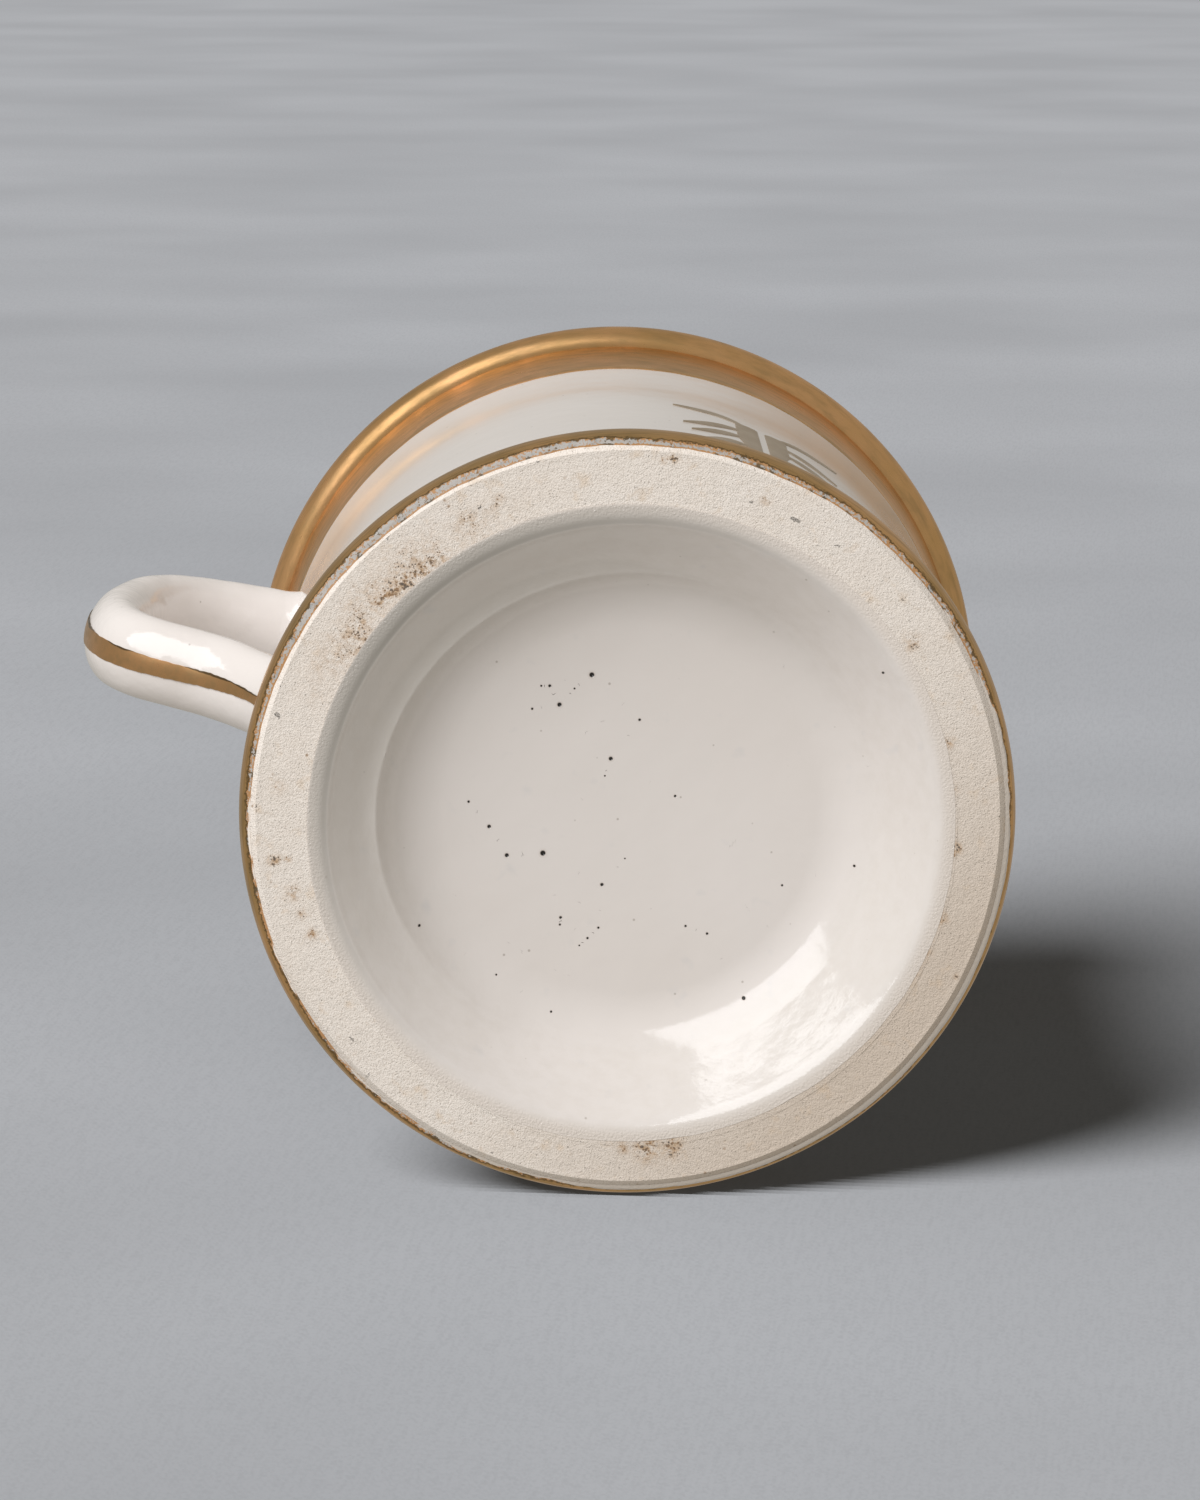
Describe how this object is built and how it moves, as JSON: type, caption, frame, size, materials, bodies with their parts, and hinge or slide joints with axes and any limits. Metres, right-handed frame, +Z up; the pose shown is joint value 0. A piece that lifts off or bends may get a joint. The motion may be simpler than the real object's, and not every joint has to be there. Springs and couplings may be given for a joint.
{
  "type": "porcelain cream jug",
  "caption": "White glazed porcelain handled jug in straight-sided mug form, with a flared foot, rolled lip and gilt bands.",
  "frame": {"origin": "centre of the foot ring's resting plane, on the axis of the turned body", "axes": "+Z up along the body's axis, handle towards -X, gilt ornament near -Y"},
  "size_m": [0.1068, 0.0874, 0.0902],
  "materials": {
    "bisque": "matte",
    "glazed_clay": "gloss",
    "clear_glaze": "gloss",
    "gilding": "satin",
    "gilt_paint": "satin"
  },
  "bodies": {
    "root": {"body": "bisque", "handle": "bisque", "upper_slip_joint": "glazed_clay", "lower_slip_joint": "glazed_clay", "outer_glaze": "clear_glaze", "inner_glaze": "clear_glaze", "recess_glaze": "clear_glaze", "handle_glaze": "clear_glaze", "gilt_rim_band": "gilding", "gilt_foot_band": "gilding", "gilt_handle_stripe": "gilding", "gilt_ornament": "gilt_paint"}
  },
  "joints": []
}
